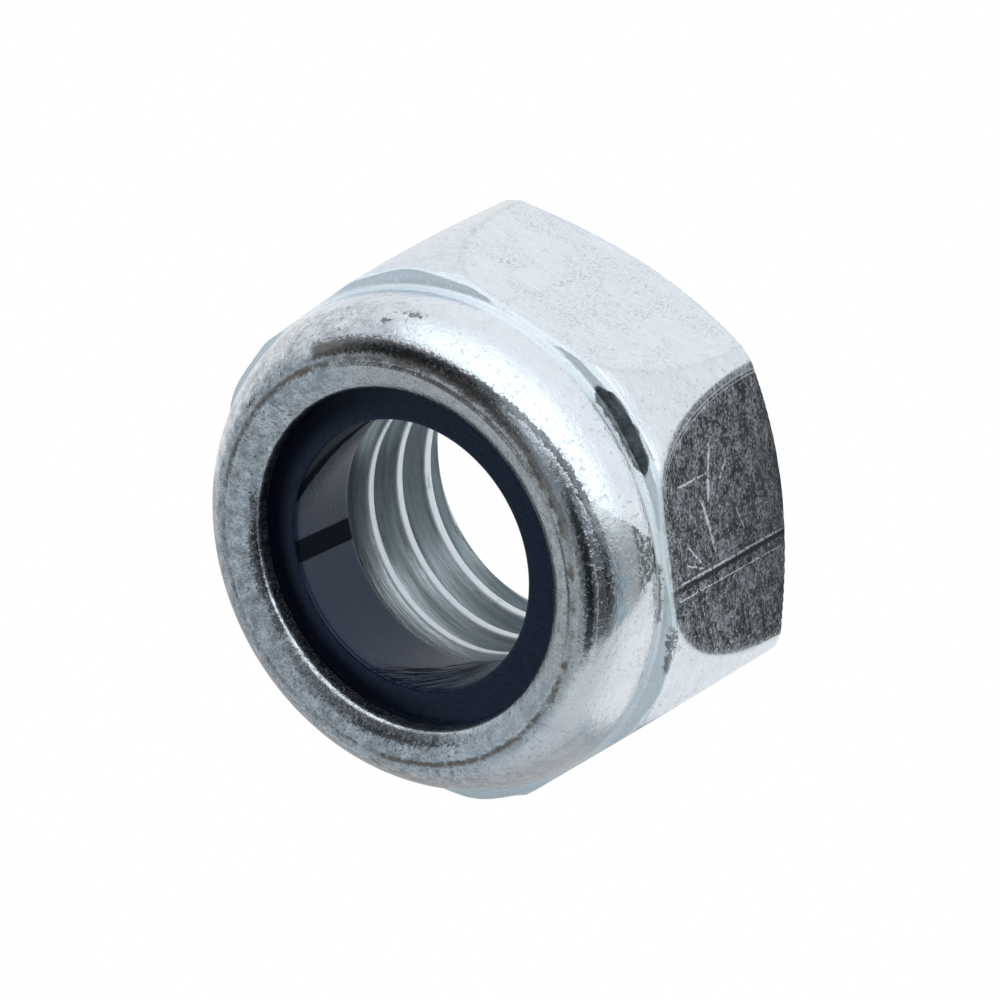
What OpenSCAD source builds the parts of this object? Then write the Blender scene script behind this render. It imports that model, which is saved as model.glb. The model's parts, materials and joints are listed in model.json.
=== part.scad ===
// Hexagon lock nut with a captive polymer locking ring, for an 8 mm coarse thread.
// The thread axis is Z. The bearing face lies on Z = 0 and the rolled collar points up.
// All sizes are millimetres.

/* [Thread] */
// Nominal diameter of the thread
thread_d = 8; // [6:0.5:9]
// Pitch of the thread
pitch = 1.25; // [0.75:0.05:1.5]
// How far the tapped hole is opened over the basic minor diameter
tap_allowance = 0.25; // [0:0.01:0.3]
// How far the countersinks at both ends of the thread are wider than the thread
mouth_over = 0.1; // [0:0.05:0.6]

/* [Hexagon] */
// Width across the flats
across_flats = 12.8; // [12.4:0.05:15]
// Height from the bearing face to the crown of the collar
nut_h = 7.65; // [7:0.05:10]
// How far the rounded corners stand out past the flats, measured along the radius
corner_rise = 0.88; // [0.5:0.01:0.95]
// Height of the fullest part of the barrel-shaped corners
barrel_z = 1.2; // [0.9:0.05:2.5]
// Diameter of the flat bearing face
bearing_d = 12.4; // [11.6:0.05:12.4]
// Angle between the bearing-side chamfer and the bearing face
chamfer_angle = 40; // [20:1:45]

/* [Collar] */
// Height of the collar, from its neck to its crown
collar_h = 2.12; // [1.9:0.01:2.8]
// How far the collar's wall lies inside the flats
collar_inset = 0.08; // [0.02:0.01:0.4]
// Radius of the hollow neck between the collar and the hexagon
neck_r = 0.3; // [0.1:0.01:0.35]
// Height of the shoulder that rounds the wall over to the crown
shoulder_h = 1.79; // [1.2:0.01:1.9]
// How far the rolled lip reaches in over the locking ring
lip_reach = 0.84; // [0.3:0.01:1.1]
// Thickness of the lip at its inner edge
lip_edge = 0.15; // [0.05:0.01:0.3]
// How far the crown stands above the lip's inner edge
crown_rise = 0.5; // [0.2:0.01:0.7]
// Radial distance from the lip's inner edge to the crown
crown_in = 0.52; // [0.3:0.01:0.7]
// Radial distance from the crown to the shallow crease that the rolling tool leaves outside it
crease_w = 0.29; // [0.06:0.01:0.35]
// Depth of that crease below the crown
crease_depth = 0.05; // [0.01:0.01:0.1]

/* [Locking ring] */
// Outer diameter of the locking ring
ring_d = 10.2; // [9.4:0.05:10.6]
// Bore of the locking ring, before a bolt has formed its thread in it
ring_bore = 6.8; // [6:0.05:7.4]
// Thickness of the locking ring
ring_h = 2.28; // [1.5:0.01:2.6]
// Rounding of the ring's edges
ring_edge = 0.12; // [0.05:0.01:0.3]
// Clearance of the ring in its seat, all round and under the lip
ring_gap = 0.02; // [0.01:0.01:0.1]

/* [Hidden] */
$fn = 96;
steps = 12;                // straight pieces in each curve of a profile
cut = 0.1;                 // how far a cutting solid runs past the face that it cuts

minor_r = (thread_d - 1.0825 * pitch + tap_allowance) / 2;
mouth_r = (thread_d + mouth_over) / 2;
flat_r = across_flats / 2;
corner_r = flat_r + corner_rise;
collar_r = flat_r - collar_inset;
bearing_r = bearing_d / 2;
chamfer_h = (corner_r - bearing_r) * tan(chamfer_angle);
neck_z = nut_h - collar_h;
wall_z = nut_h - shoulder_h;
ring_r = ring_d / 2;
bore_r = ring_bore / 2;
seat_r = ring_r + ring_gap;
lip_r = ring_r - lip_reach;
lip_z = nut_h - crown_rise;
under_lip_z = lip_z - lip_edge;
seat_z = under_lip_z - ring_gap - ring_h;
crown_r = lip_r + crown_in;
crease_r = crown_r + crease_w;
crease_z = nut_h - crease_depth;

// A quarter of an ellipse about a centre, from its widest point up to its top
function quarter(cx, cz, rx, rz) =
    [for (i = [0 : steps]) [cx + rx * cos(90 * i / steps), cz + rz * sin(90 * i / steps)]];

// A smooth bend from a to c that is drawn towards b
function bend(a, b, c) =
    [for (i = [0 : steps]) let (t = i / steps) a * (1 - t) * (1 - t) + b * 2 * t * (1 - t) + c * t * t];

// The barrel: an ellipse that leaves the flats at the neck and is fullest near the bearing face
function barrel() =
    [for (p = quarter(flat_r, barrel_z, corner_rise, neck_z - barrel_z))
        if (p[1] > chamfer_h && p[0] > collar_r + neck_r) p];

// The neck: a hollow quarter circle from the top of the barrel into the collar's wall
function neck() =
    bend([collar_r + neck_r, neck_z], [collar_r, neck_z], [collar_r, neck_z + neck_r]);

// The shoulder: a quarter ellipse from the collar's wall up to the crease
function shoulder() = quarter(crease_r, wall_z, collar_r - crease_r, crease_z - wall_z);

// The rolled lip: a quarter ellipse from the crown down to the lip's inner edge
function lip() =
    [for (i = [0 : steps]) [crown_r - crown_in * sin(90 * i / steps), lip_z + crown_rise * cos(90 * i / steps)]];

// Outline of the nut turned about the thread axis, before the flats are cut
module turned_outline() {
    polygon(concat(
        [[0, 0], [bearing_r, 0], [corner_r, chamfer_h]],
        barrel(), neck(), shoulder(), lip(), [[0, lip_z]]));
}

// Countersunk tapping hole from the bearing face up to the ring's seat
module tapped_hole() {
    mouth_h = mouth_r - minor_r;
    translate([0, 0, -cut]) cylinder(r = minor_r, h = seat_z + 2 * cut);
    translate([0, 0, -cut]) cylinder(r1 = mouth_r + cut, r2 = minor_r, h = mouth_h + cut);
    translate([0, 0, seat_z - mouth_h]) cylinder(r1 = minor_r, r2 = mouth_r + cut, h = mouth_h + cut);
}

// Recess that holds the locking ring, with the narrower opening inside the lip
module ring_seat() {
    translate([0, 0, seat_z]) cylinder(r = seat_r, h = under_lip_z - seat_z);
    translate([0, 0, seat_z]) cylinder(r = lip_r, h = nut_h - seat_z + cut);
}

// The steel nut: a cold-formed hexagon with its collar rolled in over the ring
module nut_body() {
    color("#b9c0c6")
    difference() {
        intersection() {
            rotate_extrude() turned_outline();
            translate([0, 0, -cut]) cylinder(r = flat_r / cos(30), h = nut_h + 2 * cut, $fn = 6);
        }
        tapped_hole();
        ring_seat();
    }
}

// The polymer ring: a plain washer with rounded edges, trapped under the lip
module locking_ring() {
    e = ring_edge;
    color("#14182f")
    translate([0, 0, seat_z])
    rotate_extrude()
    polygon(concat(
        bend([bore_r + e, 0], [bore_r, 0], [bore_r, e]),
        bend([bore_r, ring_h - e], [bore_r, ring_h], [bore_r + e, ring_h]),
        bend([ring_r - e, ring_h], [ring_r, ring_h], [ring_r, ring_h - e]),
        bend([ring_r, e], [ring_r, 0], [ring_r - e, 0])));
}

nut_body();
locking_ring();
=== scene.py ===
"""A hexagon lock nut with a navy locking ring, on a pale lit table."""
import json
import math
from types import SimpleNamespace

import bmesh
import bpy
import numpy as np
from mathutils import Matrix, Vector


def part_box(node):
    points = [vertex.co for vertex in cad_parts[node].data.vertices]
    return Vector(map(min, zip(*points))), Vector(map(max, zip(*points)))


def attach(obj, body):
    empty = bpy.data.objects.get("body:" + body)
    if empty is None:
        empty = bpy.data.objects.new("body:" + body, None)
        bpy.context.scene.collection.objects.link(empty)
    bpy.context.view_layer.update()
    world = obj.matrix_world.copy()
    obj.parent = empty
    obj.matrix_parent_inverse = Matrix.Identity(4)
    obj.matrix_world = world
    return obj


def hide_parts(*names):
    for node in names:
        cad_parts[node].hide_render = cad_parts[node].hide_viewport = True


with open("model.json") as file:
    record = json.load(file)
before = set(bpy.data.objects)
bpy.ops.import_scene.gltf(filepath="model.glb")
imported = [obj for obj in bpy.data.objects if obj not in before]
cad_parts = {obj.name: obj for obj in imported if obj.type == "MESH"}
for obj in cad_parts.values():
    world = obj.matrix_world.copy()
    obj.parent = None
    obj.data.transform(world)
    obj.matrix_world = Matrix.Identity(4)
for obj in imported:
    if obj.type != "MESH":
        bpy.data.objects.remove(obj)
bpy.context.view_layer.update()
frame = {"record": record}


# The steel nut: one cold-formed blank of mild steel with a hexagon, a collar that is rolled in over the
# locking ring, and a tapped hole. It is zinc plated, and its barrel-shaped corners come from the forming die.
# Its overall sizes are read from the frame in metres and worked in millimetres.
MM = 1000.0               # millimetres in a metre
NUT_TOP = np.array(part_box("nut_body")[1]) * MM
RING_LOW, RING_HIGH = (np.array(corner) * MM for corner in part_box("locking_ring"))
MOUNTS = {mount["name"]: mount for mount in frame["record"]["mounts"]}

NUT_H = NUT_TOP[2]
FLAT_R = NUT_TOP[1]
CORNER_R = NUT_TOP[0]
BARREL_Z = 1.2            # height of the fullest part of the corners
BEARING_R = 6.2
BEARING_EDGE = (0.06, 0.08)   # rounding of the bearing face's edge, in over the face and up the chamfer
CHAMFER = math.radians(40)
CORNER_EDGE = 0.07        # rounding of the edge between chamfer and barrel, to either side
EDGE_SPACES = (0.03, 0.07, 0.05)   # from a rounding to the next point: face, low and high on the chamfer
EDGE_BLEND = 0.035        # how softly the flats run into the barrel
COLLAR_R = FLAT_R - 0.08
NECK_Z = NUT_H - 2.12     # where the collar begins
NECK_R = 0.3
NECK_EDGE = 0.02          # rounding of the barrel's upper edge
NECK_START = (-0.05, 0.005)   # where the hollow of the neck starts, from the barrel's upper edge
WALL_Z = NUT_H - 1.79     # where the shoulder begins
SHOULDER_SLACK = np.array([0.09, 0.06])   # how far the shoulder falls short of an ellipse, inwards and down
SHOULDER_POINTS = 34
CREASE = np.array([5.07, NUT_H - 0.05])   # the shallow crease that the rolling tool leaves
CREASE_DIP = np.array([(0, 0), (-0.02, -0.006), (-0.04, 0.004)])
CREASE_RISE = (-0.06, 0.012)  # where the slope from the crease up to the crown starts
LIP_R = RING_HIGH[0] - 0.80
CROWN_R = LIP_R + 0.60
CROWN_EASE = 0.05         # how far outside the crown that slope is level
LIP_ARCS = [(0.88, 0, 36), (0.2, 36, 88)]   # radius of each arc, and the slopes in degrees that it joins
LIP_ARC_POINTS = 10
LIP_SHIFT = 0.13          # how far off centre the lip was rolled, towards an angle of LIP_TOWARD
LIP_TOWARD = math.radians(40)
LIP_WALL = (0.2, 0.04)    # heights above the lip's underside between which its inner wall is straight
LIP_EDGE = 0.02           # chamfer of the lip's lower edge
UNDER_LIP_Z = NUT_H - 0.65
CORNER_STAND = 0.15       # how far the hexagon's corners stand out at the neck
STAND_SPREAD = math.radians(8)
STAND_H = 0.16            # how far up and down that stand reaches
SEAT_R = RING_HIGH[0] + 0.02
PITCH = 1.25
CREST_R = MOUNTS["bolt_thread"]["dims"]["r_mm"]
CREST_HALF = 0.16         # half width of a crest, before its flanks fall away
CREST_BLEND = 0.12
FLANK_SLOPE = 1.6         # how much the radius grows for each step along the axis
ROOT_R = 4.02
ROOT_BLEND = 0.16
MOUTH_R = 4.05
MOUTH_BLEND = 0.05
HELIX_Z = 4.23            # height of a crest where the thread crosses the X axis
COLUMNS = 432             # round the outside; the bore has half as many
CORNER_DRAW = 0.45        # how strongly the columns are drawn together near the corners
ROWS_PER_PITCH = 22
WELD = 1e-8
SHARP = math.radians(40)  # edges that turn more than this are left unsmoothed
OUTSIDE_R = 6.0           # radius that the patterns' coordinates have round the outside
BORE_R = 4.0              # and round the bore
BORE_RUN = 40.0           # where their running length starts in the bore, far past the outside's


def bend(a, b, c, n):
    """A parabola from a to c drawn towards b: squares of (1 - t) and t weigh the ends, 2t(1 - t) the pull."""
    t = np.linspace(0, 1, n)[:, None]
    a, b, c = (np.asarray(v, float) for v in (a, b, c))
    return a * (1 - t) ** 2 + b * 2 * t * (1 - t) + c * t ** 2


def quarter(centre, radii, n):
    """A quarter of an ellipse from its widest point to its top: centre plus radii times cosine and sine."""
    t = np.linspace(0, np.pi / 2, n)[:, None]
    return np.array(centre) + np.hstack([radii[0] * np.cos(t), radii[1] * np.sin(t)])


def straight(a, b, n):
    """Evenly spaced points from a to b."""
    return np.array(a) + (np.array(b) - np.array(a)) * np.linspace(0, 1, n)[:, None]


def lip_arcs():
    """The rolled lip from its crown inwards. Along an arc the point moves by the arc's radius times the
    change of its slope's sine and cosine."""
    points = [np.array([[CROWN_R, NUT_H]])]
    for radius, first, last in LIP_ARCS:
        slope = np.radians(np.linspace(first, last, LIP_ARC_POINTS + 1))[:, None]
        turn = np.hstack([np.sin(slope[0]) - np.sin(slope), np.cos(slope) - np.cos(slope[0])])
        points.append(points[-1][-1] + radius * turn[1:])
    return np.vstack(points)


def turned_outline():
    """The nut's outline as radius and height, from the thread's mouth over the outside to the ring's seat."""
    slope = np.array([math.cos(CHAMFER), math.sin(CHAMFER)])
    bearing = np.array([BEARING_R, 0])
    face_end, chamfer_start = bearing - (BEARING_EDGE[0], 0), bearing + slope * BEARING_EDGE[1]
    corner = np.array([CORNER_R, (CORNER_R - BEARING_R) * math.tan(CHAMFER)])
    chamfer_end = corner - slope * CORNER_EDGE
    neck, out = np.array([COLLAR_R + NECK_R, NECK_Z]), np.array([NECK_EDGE, 0])
    barrel = quarter((FLAT_R, BARREL_Z), (CORNER_R - FLAT_R, NECK_Z - BARREL_Z), 64)
    barrel = barrel[barrel[:, 0] > neck[0] + 2 * NECK_EDGE]
    shoulder = quarter((CREASE[0], WALL_Z), (COLLAR_R - CREASE[0], CREASE[1] - WALL_Z), SHOULDER_POINTS)
    slack = np.sin(np.linspace(0, np.pi, SHOULDER_POINTS))[:, None] * SHOULDER_SLACK
    seat_z = RING_LOW[2]
    return np.vstack([
        straight((MOUTH_R, 0), face_end - (EDGE_SPACES[0], 0), 4),
        bend(face_end, bearing, chamfer_start, 4),
        straight(chamfer_start + slope * EDGE_SPACES[1], chamfer_end - slope * EDGE_SPACES[2], 12),
        bend(chamfer_end, corner, corner + (0, CORNER_EDGE), 4),
        barrel,
        bend(barrel[-1] + (-NECK_EDGE, NECK_EDGE), neck + out, neck - out, 3),
        bend(neck + NECK_START, (COLLAR_R, NECK_Z), (COLLAR_R, NECK_Z + NECK_R), 9),
        (shoulder - slack)[:-1],
        bend(*(CREASE + CREASE_DIP), 3),
        bend(CREASE + CREASE_RISE, (CROWN_R + CROWN_EASE, NUT_H), (CROWN_R, NUT_H), 6)[:-1],
        lip_arcs(),
        straight(*((LIP_R, UNDER_LIP_Z + height) for height in LIP_WALL), 3),
        [(LIP_R + LIP_EDGE, UNDER_LIP_Z), (SEAT_R, UNDER_LIP_Z), (SEAT_R, seat_z)],
        straight((RING_HIGH[0], seat_z), (MOUTH_R, seat_z), 3)])


OUTLINE = turned_outline()
RUN = np.r_[0, np.cumsum(np.hypot(*np.diff(OUTLINE, axis=0).T))]   # running length at each of its points


def columns(n):
    """Angles round the axis, drawn together near the corners: t less a share of the sine of six times t."""
    t = np.linspace(0, 2 * np.pi, n, endpoint=False)
    return t - CORNER_DRAW * np.sin(6 * t) / 6


def soft_min(a, b, k):
    """The lesser of two heights with the join rounded over a width k."""
    h = np.clip(0.5 + 0.5 * (b - a) / k, 0, 1)
    return b + (a - b) * h - k * h * (1 - h)


def outside(angle):
    """The outline carried round the axis and cut by the six flats, as a rows by columns grid of points.

    A flat's distance from the axis is its radius over the cosine of the angle from its middle. The corners'
    stand is a bell curve round the corner and up the neck, and the lip's shift grows smoothly inwards."""
    r, z = OUTLINE[:, :1], OUTLINE[:, 1:]
    from_flat = angle % (np.pi / 3) - np.pi / 6
    from_corner = (angle + np.pi / 6) % (np.pi / 3) - np.pi / 6
    stand = np.exp(-(from_corner / STAND_SPREAD) ** 2 - ((z - NECK_Z) / STAND_H) ** 2)
    turned = r + CORNER_STAND * stand * (r > COLLAR_R + NECK_R / 3)
    cut = soft_min(turned, FLAT_R / np.cos(from_flat), EDGE_BLEND)
    rolled = np.clip((CREASE[0] - r) / (CREASE[0] - LIP_R), 0, 1) * (z >= UNDER_LIP_Z)
    shift = LIP_SHIFT * rolled ** 2 * (3 - 2 * rolled)
    x = cut * np.cos(angle) + shift * math.cos(LIP_TOWARD)
    y = cut * np.sin(angle) + shift * math.sin(LIP_TOWARD)
    return np.stack([x, y, np.broadcast_to(z, cut.shape)], -1)


def bore(angle):
    """The tapped hole: rows follow the helix and are squeezed flat at both ends, where turns begin and end.

    The radius is the thread's wave between crest and root, or a countersink's cone where that is wider."""
    top, ahead = RING_LOW[2], angle / (2 * np.pi)
    rows = np.arange(int(round((top / PITCH + 2) * ROWS_PER_PITCH)) + 1)[:, None]
    z = np.clip((rows / ROWS_PER_PITCH - 2 + ahead) * PITCH + HELIX_Z % PITCH, 0, top)
    turns = (z - HELIX_Z) / PITCH - ahead
    off_crest = np.abs(turns - np.round(turns)) * PITCH
    rise = -soft_min(0, (CREST_HALF - off_crest) * FLANK_SLOPE, CREST_BLEND)
    wave = soft_min(CREST_R + rise, ROOT_R, ROOT_BLEND)
    cone = MOUTH_R - np.minimum(z, top - z)
    r = np.minimum(-soft_min(-wave, -cone, MOUTH_BLEND), MOUTH_R)
    r = np.where((z <= 0) | (z >= top), MOUTH_R, r)
    return np.stack([r * np.cos(angle), r * np.sin(angle), z], -1)


def quads(first, rows, cols, closed):
    """Corner numbers of a grid's faces, row by row from first; in a closed grid the last column meets the
    first one."""
    i = np.arange(rows - 1)[:, None] * cols
    j = np.arange(cols if closed else cols - 1)[None]
    k = (j + 1) % cols
    return first + np.stack([i + j, i + k, i + cols + k, i + cols + j], -1).reshape(-1, 4)


def wound(radius, angle, run):
    """Coordinates for patterns: the radius times the angle's cosine and sine, and a running length."""
    parts = np.broadcast_arrays(radius * np.cos(angle), radius * np.sin(angle), run)
    return np.stack(parts, -1).reshape(-1, 3)


def nut_mesh():
    """Outside and bore in one closed mesh; thin triangles close the steps where the columns halve.

    The faces' corners keep the patterns' coordinates, so that outside and bore stay apart at the steps."""
    angle = columns(COLUMNS)
    seam = np.append(angle[::2], 2 * np.pi)
    shell, hole = outside(angle), bore(seam)
    rows, first = len(shell), len(shell) * COLUMNS
    grids = quads(0, rows, COLUMNS, True), quads(first, len(hole), len(seam), False)[:, ::-1]
    even = np.arange(0, COLUMNS, 2)
    step = np.stack([even, (even + 2) % COLUMNS, even + 1], -1)
    steps = step, step[:, ::-1] + (rows - 1) * COLUMNS
    points = np.vstack([shell.reshape(-1, 3), hole.reshape(-1, 3)]) / MM
    mesh = bpy.data.meshes.new("nut")
    mesh.from_pydata(points.tolist(), [], np.vstack(grids).tolist() + np.vstack(steps).tolist())
    climb = hole[..., 2] - PITCH * seam / (2 * np.pi) + BORE_RUN
    around = np.vstack([wound(OUTSIDE_R, angle, RUN[:, None]), wound(BORE_R, seam, climb)])
    corner = np.empty(len(mesh.loops), np.int32)
    mesh.loops.foreach_get("vertex_index", corner)
    kept = mesh.attributes.new("around", "FLOAT_VECTOR", "CORNER")
    kept.data.foreach_set("vector", around[corner].ravel())
    return mesh


def welded(mesh):
    """Joins points that lie on each other, so that rows squeezed flat go, and smooths all but sharp edges."""
    body = bmesh.new()
    body.from_mesh(mesh)
    bmesh.ops.remove_doubles(body, verts=body.verts, dist=WELD)
    bmesh.ops.dissolve_degenerate(body, edges=body.edges, dist=WELD)
    body.to_mesh(mesh)
    body.free()
    mesh.shade_smooth()
    mesh.set_sharp_from_angle(angle=SHARP)
    return mesh


def piece(name, mesh, material, node):
    """Puts a mesh in the scene at the origin, riding on the part's one body and standing for its CAD node."""
    made = bpy.data.objects.new(name, mesh)
    bpy.context.collection.objects.link(made)
    mesh.materials.append(material)
    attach(made, "root")
    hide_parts(node)
    return made


def compass(degrees, reach=1.0):
    """The level direction at an angle from the X axis, as cosine, sine and nought."""
    return (reach * math.cos(math.radians(degrees)), reach * math.sin(math.radians(degrees)), 0.0)


class Net:
    """One socket of a material. Sums, differences and products of sockets add Math nodes."""

    def __init__(self, tree, socket=None):
        self.tree, self.socket = tree, socket

    def node(self, kind, settings=(), sockets=(), out=0):
        """Adds a node of a kind: its settings are set first, then the values or links of its sockets."""
        made = self.tree.nodes.new("ShaderNode" + kind)
        for name, value in dict(settings).items():
            setattr(made, name, value)
        for key, value in dict(sockets).items():
            if isinstance(value, Net):
                self.tree.links.new(value.socket, made.inputs[key])
            else:
                made.inputs[key].default_value = value
        return Net(self.tree, made.outputs[out])

    def math(self, operation, a, b=0.0):
        return self.node("Math", {"operation": operation}, {0: a, 1: b})

    def __add__(self, other):
        return self.math("ADD", self, other)

    def __sub__(self, other):
        return self.math("SUBTRACT", self, other)

    def __rsub__(self, other):
        return self.math("SUBTRACT", other, self)

    def __mul__(self, other):
        return self.math("MULTIPLY", self, other)

    def __truediv__(self, other):
        return self.math("DIVIDE", self, other)

    def __abs__(self):
        return self.math("ABSOLUTE", self)

    __radd__, __rmul__ = __add__, __mul__

    def most(self, a, b):
        return self.math("MAXIMUM", a, b)

    def vector(self, operation, a, b=(0, 0, 0), out="Vector"):
        return self.node("VectorMath", {"operation": operation}, {0: a, 1: b}, out)

    def scaled(self, vector, factor):
        return self.node("VectorMath", {"operation": "SCALE"}, {0: vector, "Scale": factor}, "Vector")

    def share(self, vector, direction):
        """How far a vector reaches along a direction: their dot product."""
        return self.vector("DOT_PRODUCT", vector, direction, "Value")

    def place(self):
        """Object coordinates in millimetres."""
        return self.scaled(self.node("TexCoord", {}, {}, "Object"), MM)

    def noise(self, vector, scale, detail=2.0, rough=0.5):
        """A noise from 0 to 1 whose middle is a half."""
        return self.node("TexNoise", {}, {
            "Vector": vector, "Scale": scale, "Detail": detail, "Roughness": rough})

    def swing(self, amount):
        """A noise moved so that its middle is nought, times an amount."""
        return (self - 0.5) * amount

    def stretched(self, vector, scale):
        """The vector scaled, so that a pattern looks drawn out along the axes scaled least."""
        return self.node("Mapping", {}, {"Vector": vector, "Scale": scale})

    def band(self, value, low, high):
        """0 below low, 1 above high and a smooth step between; low above high turns it round."""
        return self.node("MapRange", {"interpolation_type": "SMOOTHSTEP"}, {0: value, 1: low, 2: high})

    def mix(self, factor, a, b):
        return self.node("Mix", {"data_type": "RGBA"}, {"Factor": factor, "A": a, "B": b}, "Result")

    def painted(self, tone, coats):
        """The tone with coats laid over it one by one, each a mask and a colour."""
        for mask, colour in coats:
            tone = self.mix(mask, tone, colour)
        return tone

    def facing(self, around, degrees):
        """Cosine of the angle round the axis between a point of the nut's outside and a direction."""
        return self.share(around, compass(degrees)) / OUTSIDE_R

    def sector(self, around, middle, half):
        """1 within half degrees of the angle called middle, round the axis, on the nut's outside."""
        start, full = math.cos(math.radians(half)), math.cos(math.radians(half * 0.7))
        return self.band(self.facing(around, middle), start, full)

    def ribbon(self, run, middle, half):
        """1 while the running length is within half of the one called middle, with a soft edge."""
        return self.band(abs(run - middle), half * 1.2, half * 0.8)

    def stroke(self, place, start, end, width):
        """1 on the line from start to end, by the distance to its nearest point, 0 past half the width."""
        run = np.subtract(end, start)
        off = self.vector("SUBTRACT", place, start)
        reach = self.node("Math", {"use_clamp": True}, {0: self.share(off, run / (run @ run)), 1: 0.0})
        gap = self.vector("DISTANCE", off, self.scaled(run, reach), "Value")
        return self.band(gap, width / 2, width / 5)

    def surface(self, shader):
        """Makes a shader the surface of the material."""
        output = self.tree.nodes.new("ShaderNodeOutputMaterial")
        self.tree.links.new(shader.socket, output.inputs["Surface"])


def new_material(name):
    """An empty material and its Net."""
    material = bpy.data.materials.new(name)
    material.use_nodes = True
    material.node_tree.nodes.clear()
    return material, Net(material.node_tree)


def run_at(radius):
    """Running length of the outline where the shoulder or the lip passes a radius."""
    first = np.argmax(OUTLINE[:, 1] > WALL_Z)
    last = np.argmax(OUTLINE[:, 1] >= NUT_H) + LIP_ARC_POINTS * len(LIP_ARCS)
    return float(np.interp(-radius, -OUTLINE[first:last, 0], RUN[first:last]))


def run_up(height):
    """Running length of the outline where the hexagon or the neck passes a height."""
    last = np.argmax(OUTLINE[:, 1] > WALL_Z)
    return float(np.interp(height, OUTLINE[:last, 1], RUN[:last]))


def on_flat(degrees, sideways, height, proud=0.0):
    """A point on the flat that faces an angle, sideways from its middle and up from the bearing face."""
    across = np.add(compass(degrees, FLAT_R), compass(degrees + 90, sideways))
    return tuple(across + [0, 0, height] + np.full(3, proud))


# Colours of the plating, of what lies on it, and of painted shade and reflections.
PLATE = (0.78, 0.84, 0.91, 1)
MATT = (0.70, 0.77, 0.84, 1)
# Pale blue of the painted reflection in the neck's hollow.
NECK_REFLECTION = (0.82, 0.93, 1.0, 1)
BURR = (0.92, 0.97, 1.0, 1)
SCRATCHED = (0.9, 0.95, 1.0, 1)
SMEARED = (0.42, 0.58, 0.68, 1)
VALLEY = (0.38, 0.47, 0.48, 1)
# Grey of the painted shadow patch on the collar.
SHADOW_PATCH_GREY = (0.40, 0.43, 0.43, 1)
LIP_WEAR = (0.62, 0.59, 0.53, 1)
SCUFFED = (0.30, 0.29, 0.31, 1)
SHADOW = (0.16, 0.19, 0.20, 1)
# Brown of rust and stains, also used for the painted shade line at the flats' upper edges.
RUST_AND_EDGE_SHADE = (0.15, 0.115, 0.085, 1)
# Brown of the painted shade by the crease and of the painted dark reflection band on the left.
SHADE_BROWN = (0.10, 0.085, 0.07, 1)
SOOT = (0.10, 0.11, 0.12, 1)
# Near black of the painted dark reflections on the collar.
DARK_REFLECTION = (0.06, 0.07, 0.075, 1)
# Tone of the smudges and of the painted shade and dark reflection among them.
SMUDGE_AND_SHADE_TONE = (0.06, 0.065, 0.065, 1)
FLECKED = (0.05, 0.06, 0.065, 1)
CHIPPED = (0.05, 0.055, 0.06, 1)
# Near black of the painted shade crescent in the neck.
CRESCENT_SHADE_TONE = (0.018, 0.028, 0.031, 1)
BUMP = 0.00001            # depth of the forging's roughness, in metres

# Places of single marks, by angles in degrees round the axis and by radii, heights and widths in millimetres.
SCRATCHES = [             # on the flat at 30 degrees: sideways and up at each end, then the width
    (-0.90, 5.00, -0.93, 0.40, 0.08), (-1.28, 5.10, -1.33, 0.50, 0.05), (0.89, 3.75, -0.50, 3.39, 0.13),
    (1.42, 4.67, 1.40, 3.46, 0.07), (1.11, 2.86, 1.45, 2.56, 0.08), (2.16, 3.17, 0.75, 3.46, 0.12),
    (-0.15, 4.50, -0.62, 4.05, 0.06), (-0.55, 4.60, -0.80, 4.00, 0.06), (0.20, 2.30, -0.35, 2.05, 0.05)]
SCRATCH_PROUD = 0.03      # how far their lines lie off the flat's middle, along each axis
SCUFFS = [                # rubbed lines on the flat at 90 degrees, in the same way
    (1.16, 4.30, -1.39, 4.25, 0.45), (0.55, 4.35, 0.60, 2.30, 0.35), (0.60, 2.35, -0.60, 2.45, 0.40),
    (-1.30, 3.10, -1.35, 1.20, 0.35), (2.30, 3.90, 1.70, 3.70, 0.35)]
WOBBLE = (0.06, 0.06, 0.06)   # how far the lines of both wander
FLAT_EDGE = (6.36, 6.395)  # distances from the axis between which a point comes to lie on a flat
# Those at 193, 216 and 232 degrees are painted shade along the lip's inner edge; the long one at 289 degrees
# is a painted dark reflection band.
SMUDGES_AND_SHADE = [               # on the collar: angle, radius, then half the length round it and half the width
    (112, 6.05, 0.35, 0.09), (118, 5.90, 0.20, 0.06), (216, 4.42, 1.20, 0.11), (289, 4.60, 2.30, 0.09),
    (193, 4.45, 0.40, 0.07), (232, 4.42, 1.00, 0.09), (165, 5.35, 0.25, 0.08)]
# The crease band is painted shade just outside the crease; the left band and its end are a painted dark
# reflection.
CREASE_SHADE_BAND = (5.21, 0.09, 78, 46)   # bands on the collar: radius, half width, middle angle, half length
LEFT_BAND = (5.40, 0.18, 113, 40)
LEFT_END = (5.55, 0.13, 128, 17)
LEFT_STOP = 139           # angle at which the dark band on the left ends
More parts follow.
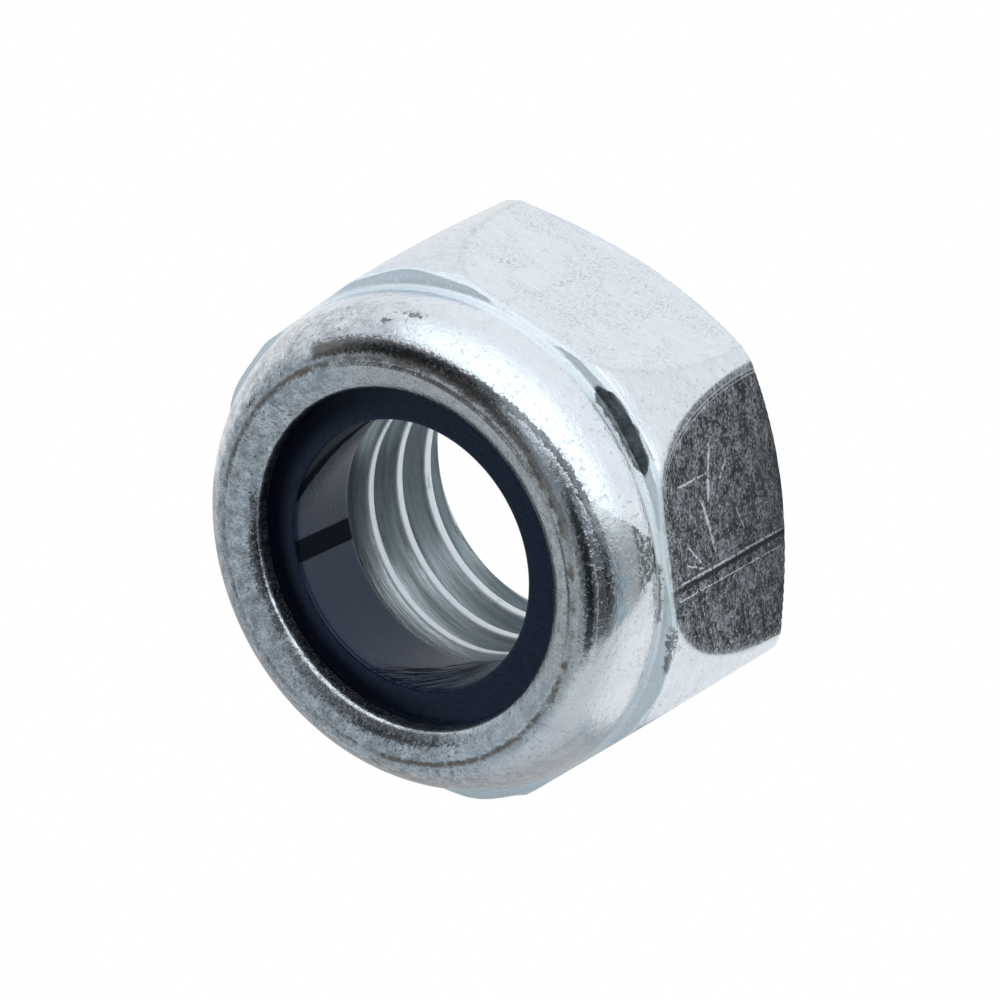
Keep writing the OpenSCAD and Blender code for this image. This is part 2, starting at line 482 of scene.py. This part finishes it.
# The sweep and the stripe are painted dark reflections.
SWEEP_BAND = (5.38, 0.09, 72, 62)
SWEEP_OUT = (5.82, 25)    # radius that the sweep reaches, and the angle at which it does
STRIPE_BAND = (5.48, 0.08, 28, 26)
SHADOW_BAND = (5.44, 0.17, 58, 36)
TOOL_MARK = (5.61, 20, 16)    # a thin bright line: radius, middle angle, half length
CHIPS = [(5.82, 0.13, 22, 8), (5.50, 0.11, 9, 6)]   # on the neck: height, half width, angle, half length
BURR_RADII = (5.35, 6.3)  # on the collar, between which the burr widens
BURR_AT = 10              # angle of the burr's edge at the first of them
SHADOW_PATCH_RADII = (5.65, 6.25)    # between which the painted grey shadow patch narrows
SHADOW_PATCH_AT = 30             # angle of its middle
COLLAR_FOOT = (5.75, 5.9)     # heights between which the marks on the collar's wall fade in
NECK_FOOT, NECK_HEAD = (5.32, 5.42), (5.90, 5.80)   # and heights for the neck's hollow, painted pale as a reflection
CRESCENT = (58.5, 11.5, 3)    # angle of the painted dark crescent of shade in the neck, and how far from it the shade starts and is full
CRESCENT_Z = 5.56


def plate_fields(net):
    """What the marks share: where a point lies on the nut, and noises from broad clouds to fine grain.

    The third of the coordinates called around is the running length of the nut's section, here along."""
    plate = SimpleNamespace()
    plate.place = net.place()
    plate.around = net.node("Attribute", {"attribute_name": "around"}, {}, "Vector")
    plate.along = net.node("SeparateXYZ", {}, {0: plate.around}, "Z")
    plate.threaded = net.band(plate.along, BORE_RUN - 10, BORE_RUN - 9)
    plate.outer = 1 - plate.threaded

    plate.fine = net.noise(plate.around, 15.0, 2.0, 0.6)
    plate.patch = net.noise(plate.around, 0.8, 3.0, 0.6)
    plate.grain = net.noise(net.stretched(plate.around, (0.5, 0.5, 1.0)), 6.5, 4.0, 0.65)
    plate.mill = net.noise(net.stretched(plate.around, (0.7, 0.7, 1.0)), 7.5, 4.0, 0.7)
    plate.cloud = net.noise(net.stretched(plate.around, (0.75, 0.75, 1.0)), 2.0, 7.0, 0.75)
    mottle = net.noise(net.stretched(plate.around, (0.7, 0.7, 1.0)), 3.6, 6.0, 0.72)
    plate.mottle = net.band(mottle, 0.30, 0.70)
    plate.ragged = plate.mill.swing(0.34) + plate.fine.swing(0.16)
    plate.soot = net.band(net.noise(plate.around, 8.0, 3.0, 0.6) + plate.patch.swing(0.3), 0.60, 0.70)
    plate.matt = net.node("Math", {"use_clamp": True}, {
        0: plate.cloud.swing(2.6) + plate.fine.swing(1.6) + plate.grain.swing(1.0), 1: 0.45})
    plate.spark = net.band(plate.fine + plate.grain.swing(0.7) + plate.patch.swing(0.2), 0.62, 0.70)

    plate.on_lip = net.band(plate.along, run_at(5.45), run_at(5.2))
    on_collar = net.band(plate.along, run_up(5.9), run_at(6.1))
    far = net.band(net.facing(plate.around, 222), -0.75, 0.45)
    plate.worn = net.most(far * on_collar, plate.on_lip * 0.6) * plate.outer
    plate.on_wall = net.band(plate.along, *map(run_up, COLLAR_FOOT))
    return plate


def flat_marks(net, plate):
    """The machined flat at 30 degrees with its rim, double line, groove and scratches, the scuffed one, and a
    painted shade line where the other flats meet the barrel near the top.

    A point's depth inside the turned barrel is the barrel's radius at its height less its own radius."""
    marks = SimpleNamespace()
    marks.machined = net.band(net.share(plate.place, compass(30)), *FLAT_EDGE) * plate.outer
    side = net.share(plate.place, compass(120))
    full = (net.share(plate.place, (0, 0, 1)) - BARREL_Z) / (NECK_Z - BARREL_Z)
    barrel_r = net.math("SQRT", net.most(1 - full * full, 0.0)) * (CORNER_R - FLAT_R) + FLAT_R
    level = net.vector("MULTIPLY", plate.place, (1, 1, 0))
    inside = barrel_r - net.vector("LENGTH", level, out="Value")
    marks.rim = net.band(inside + plate.grain.swing(0.08), 0.14, 0.0) * marks.machined
    outer_line = net.band(abs(inside - 0.085), 0.018, 0.004)
    inner_line = net.band(abs(inside - 0.13), 0.014, 0.003)
    marks.double = net.most(outer_line, inner_line) * net.band(side, 0.9, 1.4) * marks.machined
    marks.groove = net.band(side, -1.12, -1.04) * net.band(side, -0.95, -0.99) * marks.machined
    # A painted thin shade line where the flats turn into the barrel, near the top of the hexagon.
    on_hexagon = net.band(plate.along, run_up(5.40), run_up(5.15)) * plate.outer
    edge = net.band(abs(inside + plate.grain.swing(0.12) - 0.02), 0.06, 0.0)
    marks.edge = edge * on_hexagon * (1 - marks.machined)
    rubbed = plate.cloud.swing(2.8) + plate.mill.swing(2.6) + plate.fine.swing(2.4) + 0.36
    marks.rubbed = net.most(rubbed, 0.0)

    wander = net.node("TexNoise", {}, {"Vector": plate.around, "Scale": 5.0}, "Color")
    shaken = net.node("VectorMath", {"operation": "MULTIPLY_ADD"}, {0: wander, 1: WOBBLE, 2: plate.place})
    cut = scuff = 0.0
    for s0, z0, s1, z1, width in SCRATCHES:
        start, end = on_flat(30, s0, z0, SCRATCH_PROUD), on_flat(30, s1, z1, SCRATCH_PROUD)
        cut = net.most(net.stroke(shaken, start, end, width), cut)
    marks.cut = cut * net.band(plate.grain + plate.fine.swing(0.5), 0.36, 0.50)
    for s0, z0, s1, z1, width in SCUFFS:
        scuff = net.most(net.stroke(shaken, on_flat(90, s0, z0), on_flat(90, s1, z1), width), scuff)
    patchy = net.band(net.noise(plate.around, 1.1, 5.0, 0.65), 0.46, 0.58)
    specks = net.band(net.share(plate.place, compass(90)), *FLAT_EDGE) * net.band(plate.fine, 0.48, 0.62)
    marks.scuff = (scuff * 0.20 + patchy * 0.26 + 0.08) * specks
    return marks


def lip_marks(net, plate):
    """The dark bands, stains and smudges that lie round the rolled lip, with ragged edges. The dark bands and
    some of the smudges are painted shade and painted dark reflections.
    """
    def arc(radius, half, middle, spread, run=plate.along + plate.ragged):
        """A band round the collar at a radius, of a half width, about a middle angle, of a half length."""
        return net.ribbon(run, run_at(radius), half) * net.sector(plate.around, middle, spread)

    marks = SimpleNamespace()
    off = abs(plate.along - run_at(CREASE[0]) + 0.03 + plate.grain.swing(0.24) + plate.fine.swing(0.14))
    bold = net.most(net.sector(plate.around, 160, 24), net.sector(plate.around, 312, 26))
    broken = net.band(net.noise(plate.around, 1.5, 5.0, 0.7) + bold * 0.14, 0.44, 0.60)
    marks.stain = net.band(off, 0.12, 0.02) * (broken * 0.85 + 0.15) * plate.outer
    marks.blotch = net.band(net.noise(plate.around, 2.0, 4.0, 0.7), 0.58, 0.68) * plate.worn

    # The left band and its end are a painted dark reflection, joined below to the painted shade outside the
    # crease.
    end = arc(*LEFT_END) * net.band(plate.mill + plate.fine.swing(0.9), 0.66, 0.36)
    past_end = net.share(plate.around, compass(LEFT_STOP + 90)) + plate.ragged
    marks.left = net.most(arc(*LEFT_BAND), end) * net.band(past_end, 0.15, -0.15)
    marks.soil = net.most(arc(*CREASE_SHADE_BAND), marks.left)
    out_r, out_angle = SWEEP_OUT
    towards = net.most(net.facing(plate.around, out_angle), 0.0)
    swerve = (run_at(out_r) - run_at(SWEEP_BAND[0])) * towards * towards
    # Painted dark reflection that sweeps outwards, with a painted dark reflection stripe beside it.
    sweep = arc(*SWEEP_BAND, run=plate.along + plate.ragged - swerve)
    marks.sweep = net.most(sweep, arc(*STRIPE_BAND))
    marks.shadow = arc(*SHADOW_BAND)

    # Smudges, with painted shade at the lip's inner edge and a painted dark reflection band.
    marks.smudge = 0.0
    roughened = plate.mill.swing(3.4) + plate.fine.swing(3.0)
    for angle, radius, length, width in SMUDGES_AND_SHADE:
        off = net.vector("SUBTRACT", plate.around, compass(angle, OUTSIDE_R)[:2] + (run_at(radius),))
        off = net.vector("LENGTH", net.vector("DIVIDE", off, (length, length, width)), out="Value")
        marks.smudge = net.most(net.band(off + roughened, 1.15, 0.65), marks.smudge)
    return marks


def collar_marks(net, plate):
    """The white burr, the painted grey shadow patch and its flecks, the pale smear and the thin line on the
    collar.
    """
    def outward(radii):
        """How far out on the collar a point lies, from 0 at the first radius to 1 at the second."""
        first, last = map(run_at, radii)
        return (first - plate.along) / (first - last)

    marks = SimpleNamespace()
    reach, past = outward(BURR_RADII), net.facing(plate.around, BURR_AT + 90)
    burr = net.band(past - reach * 0.297 + plate.ragged * 0.3, 0.015, -0.045) * net.band(past, -0.42, -0.24)
    burr = burr * net.band(reach, -0.06, 0.08) * plate.on_wall * plate.outer
    marks.burr = burr * (net.band(plate.mill + plate.fine.swing(0.5), 0.36, 0.56) * 0.5 + 0.5)

    # A painted grey shadow patch that narrows outwards, with darker flecks in its outer part.
    reach, beside = outward(SHADOW_PATCH_RADII), net.share(plate.around, compass(SHADOW_PATCH_AT + 90))
    panel = net.band(2.1 - reach * 1.25 - beside + plate.ragged * 1.2, 0.0, 0.08)
    panel = panel * net.band(beside + 2.0 - reach * 1.4 + plate.ragged * 2.5, 0.0, 0.12)
    marks.panel = panel * net.band(reach, 0.0, 0.15) * plate.on_wall * plate.outer
    flecks = net.band(plate.mill + plate.fine.swing(0.6), 0.42, 0.52)
    marks.flecks = marks.panel * net.band(reach, 0.80, 0.92) * flecks

    on_side = plate.on_wall * net.band(plate.along, run_at(5.7), run_at(6.0)) * plate.outer
    smear = net.band(plate.cloud + plate.mill.swing(0.3), 0.50, 0.44)
    marks.smear = smear * net.sector(plate.around, 6, 34) * on_side
    radius, middle, half = TOOL_MARK
    line = net.band(abs(plate.along - run_at(radius) + plate.grain.swing(0.12)), 0.035, 0.01)
    marks.line = line * net.sector(plate.around, middle, half) * net.band(plate.mill, 0.36, 0.5)
    return marks


def neck_marks(net, plate):
    """The neck's hollow, painted pale as a reflection, the painted dark crescent of shade that lies in it,
    and two chips.
    """
    marks = SimpleNamespace()
    foot, head = (net.band(plate.along, *map(run_up, heights)) for heights in (NECK_FOOT, NECK_HEAD))
    marks.hollow = foot * head * plate.outer
    # The crescent is painted shade and dark reflection in the neck's fillet.
    middle, start, full = CRESCENT
    crescent = net.band(net.facing(plate.around, middle), *(math.cos(math.radians(a)) for a in (start, full)))
    off = abs(plate.along - run_up(CRESCENT_Z) + plate.grain.swing(0.3))
    dirt = net.band(net.math("MINIMUM", crescent * 0.34, 0.21) - off, -0.03, 0.04)
    marks.dirt = dirt * net.band(crescent, 0.0, 0.05) * plate.outer
    run = plate.along + plate.ragged * 2
    marks.chips = net.most(*(
        net.ribbon(run, run_up(height), half) * net.sector(plate.around, angle, spread)
        for height, half, angle, spread in CHIPS))
    return marks


def thread_marks(net, plate):
    """The bore's turning lines, drawn out round the thread, and its bright crests."""
    turned = net.noise(net.stretched(plate.around, (0.22, 0.22, 7.0)), 1.2, 5.0, 0.7)
    turns = (plate.along - BORE_RUN - HELIX_Z) / PITCH
    off_crest = abs(net.math("FRACT", turns + 0.5) - 0.5) * PITCH
    crest = net.band(off_crest + plate.grain.swing(0.1), 0.24, 0.12) * net.band(plate.patch, 0.30, 0.38)
    return SimpleNamespace(turned=net.band(turned, 0.34, 0.64), crest=crest)


def zinc_plate():
    """Bright zinc plate over a rough forging: mottled and specked, drawn round the nut, duller where worn.

    The marks are painted over the plate from the lowest to the topmost, and some of them are painted shade
    and painted reflections. What is rubbed or scratched is less of a mirror than the plate beside it, so it
    counts as less metallic."""
    material, net = new_material("bright_zinc_plate")
    plate = plate_fields(net)
    outer, worn, threaded = plate.outer, plate.worn, plate.threaded
    flat, lip, collar = flat_marks(net, plate), lip_marks(net, plate), collar_marks(net, plate)
    neck, thread = neck_marks(net, plate), thread_marks(net, plate)
    pepper = net.band(plate.fine + plate.grain.swing(0.5), 0.56, 0.40)
    tone = net.painted(net.mix(plate.matt * 0.5, PLATE, MATT), [
        ((1 - plate.mottle) * (worn * 0.55 + 0.07) * outer, SOOT),
        (plate.soot * (worn * 0.54 + 0.16) * outer, SOOT),
        (plate.on_lip * net.sector(plate.around, 60, 80) * 0.4 * outer, LIP_WEAR),
        (lip.blotch * 0.35, RUST_AND_EDGE_SHADE),
        (lip.stain * 0.85, RUST_AND_EDGE_SHADE),
        # Painted shade by the crease, joined by a painted dark reflection band on the left.
        ((lip.soil + lip.left * 0.35) * 0.62, SHADE_BROWN),
        # Painted dark reflections: the sweep and the stripe.
        (lip.sweep * 0.80, DARK_REFLECTION),
        # Painted grey shadow patch and its flecks.
        (collar.panel * 0.52, SHADOW_PATCH_GREY),
        (collar.flecks * 0.75, FLECKED),
        (lip.shadow * 0.45, SHADOW),
        # Smudges, with painted shade at the lip's inner edge and a painted dark reflection band.
        (lip.smudge * 0.72, SMUDGE_AND_SHADE_TONE),
        # Painted pale reflection in the neck's hollow.
        (neck.hollow * 0.8, NECK_REFLECTION),
        (neck.chips * 0.75, CHIPPED),
        (collar.smear * 0.55, SMEARED),
        (collar.burr * 0.8, BURR),
        # Painted shade line where the flats meet the barrel.
        (flat.edge * 0.11, RUST_AND_EDGE_SHADE),
        # Painted dark crescent of shade and dark reflection in the neck.
        (neck.dirt * (0.80 + plate.mottle * 0.16), CRESCENT_SHADE_TONE),
        (pepper * (net.most(worn, lip.soil * 0.6) * 0.34 + 0.04) * outer, SOOT),
        (flat.scuff, SCUFFED),
        (flat.cut * 0.8, SCRATCHED),
        (threaded * (1 - thread.turned * 0.75) * (1 - thread.crest), VALLEY)])

    dull = (plate.matt * 0.075 + plate.spark * 0.1) * (1 - flat.machined)
    dull = dull + (flat.rubbed * 0.46 + 0.01 + plate.spark * 0.14) * flat.machined * (1 - flat.groove)
    dull = dull + flat.cut * 0.5 + flat.double * 0.35 + flat.rim * 0.25
    # The neck's painted pale reflection is made dull so that its colour shows; the tool line and the burr are
    # dull too.
    dull = dull + neck.hollow * (1 - neck.dirt) * 0.7 + collar.line * 0.35 + collar.burr * 0.55
    metal = 1 - dull * outer * (1 - lip.sweep) - threaded * 0.45
    rough = 0.06 + (plate.matt * 0.10 + plate.fine * 0.05) * outer + threaded * 0.2 + flat.cut * 0.2
    height = plate.grain * 0.9 + plate.fine * 0.25 + plate.mottle * 0.4 - flat.cut * 0.8 - plate.soot * 0.5
    height = height * outer + thread.turned * threaded * 0.5
    bump = net.node("Bump", {}, {"Strength": 1.0, "Distance": BUMP, "Height": height})
    net.surface(net.node("BsdfPrincipled", {}, {
        "Base Color": tone, "Metallic": metal, "Roughness": rough, "Normal": bump}))
    return material


nut = piece("nut", welded(nut_mesh()), zinc_plate(), "nut_body")


# The locking ring: a moulded washer of tough navy polymer, pressed into the collar before the lip is rolled
# over it. A bolt forms its own thread in the plain bore, which is a little narrower than the nut's crests.
RING_BORE_R = MOUNTS["ring_bore"]["dims"]["r_mm"]
RING_EDGE = 0.12
RING_COLUMNS = 384


def ring_outline():
    """Half section of the ring, once round: four bends of one size and, on two sides, straights between."""
    low, high = RING_LOW[2], RING_HIGH[2]
    inner, outer = RING_BORE_R, RING_HIGH[0]
    e = RING_EDGE
    return np.vstack([
        bend((inner + e, low), (inner, low), (inner, low + e), 8),
        straight((inner, low + 2 * e), (inner, high - 2 * e), 12),
        bend((inner, high - e), (inner, high), (inner + e, high), 8),
        straight((inner + 2 * e, high), (outer - 2 * e, high), 12),
        bend((outer - e, high), (outer, high), (outer, high - e), 8),
        bend((outer, low + e), (outer, low), (outer - e, low), 8)])


def ring_mesh():
    """The ring's section turned about the thread axis and closed on itself both ways."""
    section = ring_outline()
    section = np.vstack([section, section[:1]])
    angle = np.linspace(0, 2 * np.pi, RING_COLUMNS, endpoint=False)
    r, z = section[:, :1], section[:, 1:]
    points = np.stack([r * np.cos(angle), r * np.sin(angle), np.repeat(z, RING_COLUMNS, 1)], -1) / MM
    faces = quads(0, len(section), RING_COLUMNS, True)[:, ::-1]
    mesh = bpy.data.meshes.new("ring")
    mesh.from_pydata(points.reshape(-1, 3).tolist(), [], faces.tolist())
    return mesh


NAVY_DARK = (0.0015, 0.004, 0.012, 1)
NAVY_LIGHT = (0.006, 0.013, 0.038, 1)
# Lighter slate blue of the bore wall, a painted reflection.
NAVY_BORE_REFLECTION = (0.026, 0.038, 0.070, 1)
NAVY_MATT = (0.0015, 0.0030, 0.009, 1)
NAVY_SPECK = (0.06, 0.07, 0.10, 1)
NAVY_SHEEN = (0.56, 0.72, 1.0, 1)
GRAIN_DEPTH = 0.000012    # of the moulded grain, in metres
BORE_FACE = (11.9, 11.7)  # squares of the radii between which a point comes to lie in the bore
TOP_FACE = (11.7, 15.6)   # and between which the shade on the top face deepens
SHADE_AT = 213            # angle of that shade's middle
PATCH_AT = 213.3          # angle of the matt upright patch in the bore
FAN_AT = 170              # angle of the slanting streaks
LOWER_AT = 292            # angle of the low streaks


def bore_scuffs(net, place, height):
    """The bore's matt marks: an upright patch, a fan that thins upwards, and fine streaks low down."""
    across = net.share(place, compass(PATCH_AT + 90)) + (height - 5.7) * 0.03
    patch = net.band(abs(across), 0.30, 0.26) * net.band(net.share(place, compass(PATCH_AT)), 0.0, 1.0)

    rough_edge = net.noise(place, 6.0, 3.0, 0.6).swing(0.35)
    slant = height - 6.45 - (net.share(place, compass(FAN_AT + 93)) - 0.57) * 0.88 + rough_edge
    fan = net.band(slant, -0.02, 0.10) * (net.band(slant, 0.75, 0.45) * 0.5 + 0.45)
    fan = fan * net.band(net.share(place, compass(FAN_AT)), 2.9, 3.2)

    beside = net.share(place, compass(LOWER_AT + 90))
    across = height - 6.6 + (beside + 0.99) * 1.05
    drawn = net.node("CombineXYZ", {}, {"X": across * 5.0, "Y": beside * 0.7}, "Vector")
    lower = net.band(net.noise(drawn, 1.6, 3.0, 0.6), 0.46, 0.54) * net.band(across, -0.35, -0.05)
    lower = lower * net.band(net.share(place, compass(LOWER_AT)), 3.1, 3.3)
    return net.most(patch * 0.9, net.most(lower * 0.8, fan))


def navy_polymer():
    """Semi-gloss navy polymer with a faint grain, painted lighter in the bore as a reflection and scuffed
    matt there. On the far left its top face turns matt and near black towards the lip, as painted shade.
    """
    material, net = new_material("navy_polymer")
    place = net.place()
    x, y, height = (net.share(place, axis) for axis in ((1, 0, 0), (0, 1, 0), (0, 0, 1)))
    spread = x * x + y * y
    in_bore = net.band(spread, *BORE_FACE)
    grain = net.noise(place, 9.0, 3.0, 0.6)
    speck = net.band(net.noise(place, 13.0, 2.0, 0.6), 0.66, 0.72)
    leftward = net.share(place, compass(SHADE_AT)) / 4.2
    # Painted shade: the top face's outer part on the far left is mixed towards the matt, near black shader.
    shade = net.band(spread, *TOP_FACE) * net.band(leftward, -0.3, 0.6) * net.band(height, 6.9, 6.95) * 0.92
    # The matt mix carries both the bore's scuffs and the painted shade on the top face.
    scuff = bore_scuffs(net, place, height) * in_bore + shade

    tone = net.painted(net.mix(net.band(grain, 0.35, 0.65), NAVY_DARK, NAVY_LIGHT), [
        (speck * 0.6, NAVY_SPECK),
        # The bore wall is painted lighter and bluer as a painted reflection.
        (in_bore * 0.8, NAVY_BORE_REFLECTION)])
    bump = net.node("Bump", {}, {"Strength": 0.5, "Distance": GRAIN_DEPTH, "Height": grain})
    gloss = net.node("BsdfPrincipled", {}, {
        "Base Color": tone, "Roughness": 0.16 + grain * 0.1, "Specular IOR Level": 0.36,
        "Specular Tint": NAVY_SHEEN, "Normal": bump})
    matt = net.node("BsdfPrincipled", {}, {
        "Base Color": NAVY_MATT, "Roughness": 0.8, "Specular IOR Level": 0.03})
    net.surface(net.node("MixShader", {}, {0: scuff, 1: gloss, 2: matt}))
    return material


ring = piece("locking_ring_moulding", welded(ring_mesh()), navy_polymer(), "locking_ring")


# The studio: a pale lit table, a dim room, and soft lamps and dark flags placed so that the plating mirrors
# light and dark where it does in the photograph. Three flat cards lie by the nut, hidden from the camera.
TABLE_HALF = 600          # half the table's width
TABLE_GLOW = 1.0
ROOM_LIGHT = (0.47, 0.52, 0.55, 1)
LAMP_COLOUR = (0.95, 0.98, 1.0)
LAMP_EDGE = 1             # softness of a lamp's edge in degrees
LAMPS = [                 # azimuth, elevation and half width in degrees, strength; a later one covers others
    (312, 8, 32, 0.62), (165, 5, 28, 0.8), (88, 0, 58, 1.5), (3, 32, 22, 0.06), (20, 60, 11, 0.10),
    (345, 56, 13, 0.06), (48, 46, 15, 0.10), (140, 63, 24, 0.17), (163, 47, 19, 0.12)]
CARD_RISE = 0.02
CARDS = {                 # how bright a card is, how strongly it glows, and its corners on the table
    "dark_card": (0.02, 0.025, [(3.6, 6.24), (8.8, 8.8), (14.3, 1.3), (12.2, -0.1), (7.29, -0.12)]),
    "left_card": (0.0, 0.5, [(-5.3, -3.4), (-167, -109), (-106, -170), (28, -198), (150, -130), (5.2, -3.6),
                             (0.2, -6.3), (-3.5, -5.2)]),
    "front_card": (0.0, 0.45, [(20, 0.3), (200, 2), (176, 94), (17.6, 9.4)])}


def staged(name, points, base, glow):
    """One matt flat face, in millimetres, that may glow; it belongs to the studio and not to the nut."""
    material, net = new_material(name)
    net.surface(net.node("BsdfPrincipled", {}, {
        "Base Color": (base, base, base, 1), "Roughness": 1.0, "Specular IOR Level": 0.0,
        "Emission Color": (1, 1, 1, 1), "Emission Strength": glow}))
    mesh = bpy.data.meshes.new(name)
    mesh.from_pydata((np.array(points) / MM).tolist(), [], [list(range(len(points)))])
    mesh.materials.append(material)
    made = bpy.data.objects.new(name, mesh)
    bpy.context.collection.objects.link(made)
    return made


def studio_light():
    """The room's dim grey plus a soft-edged disc of light for each lamp, by the angle from its middle."""
    world = bpy.data.worlds.new("studio")
    world.use_nodes = True
    net = Net(world.node_tree)
    toward = net.node("TexCoord", {}, {}, "Generated")
    light = ROOM_LIGHT
    for azimuth, elevation, spread, strength in LAMPS:
        level = np.array(compass(azimuth)) * math.cos(math.radians(elevation))
        middle = tuple(level + [0, 0, math.sin(math.radians(elevation))])
        angle = net.math("ARCCOSINE", net.share(toward, middle))
        inside = net.band(angle, math.radians(spread + LAMP_EDGE), math.radians(spread - LAMP_EDGE))
        light = net.mix(inside, light, tuple(strength * c for c in LAMP_COLOUR) + (1,))
    net.tree.links.new(light.socket, world.node_tree.nodes["Background"].inputs["Color"])
    bpy.context.scene.world = world


table = [(-TABLE_HALF, -TABLE_HALF, 0), (TABLE_HALF, -TABLE_HALF, 0),
         (TABLE_HALF, TABLE_HALF, 0), (-TABLE_HALF, TABLE_HALF, 0)]
staged("table", table, 0.0, TABLE_GLOW)
for name, (base, glow, corners) in CARDS.items():
    card = staged(name, [(x, y, CARD_RISE) for x, y in corners], base, glow)
    card.visible_camera = False
studio_light()
bpy.context.scene.view_settings.view_transform = "Standard"


# The camera looks down on the collar from the azimuth and height at which the photograph was taken,
# rolled so that the thread axis points down to the left. It has no depth of field.
CAMERA_AT = (0.0431, 0.06456, 0.09854)
CAMERA_RIGHT = np.array([0.7710, 0.3089, -0.5569])
CAMERA_UP = np.array([-0.5313, 0.7941, -0.2951])
FOCAL_PIXELS = 4995
PHOTO_WIDTH = 1000
lens = bpy.data.cameras.new("camera")
lens.lens = lens.sensor_width * FOCAL_PIXELS / PHOTO_WIDTH
lens.clip_start, lens.clip_end = 0.01, 10
camera = bpy.data.objects.new("camera", lens)
bpy.context.collection.objects.link(camera)
turn = np.column_stack([CAMERA_RIGHT, CAMERA_UP, np.cross(CAMERA_RIGHT, CAMERA_UP), CAMERA_AT])
camera.matrix_world = Matrix([*turn.tolist(), [0, 0, 0, 1]])
bpy.context.scene.camera = camera
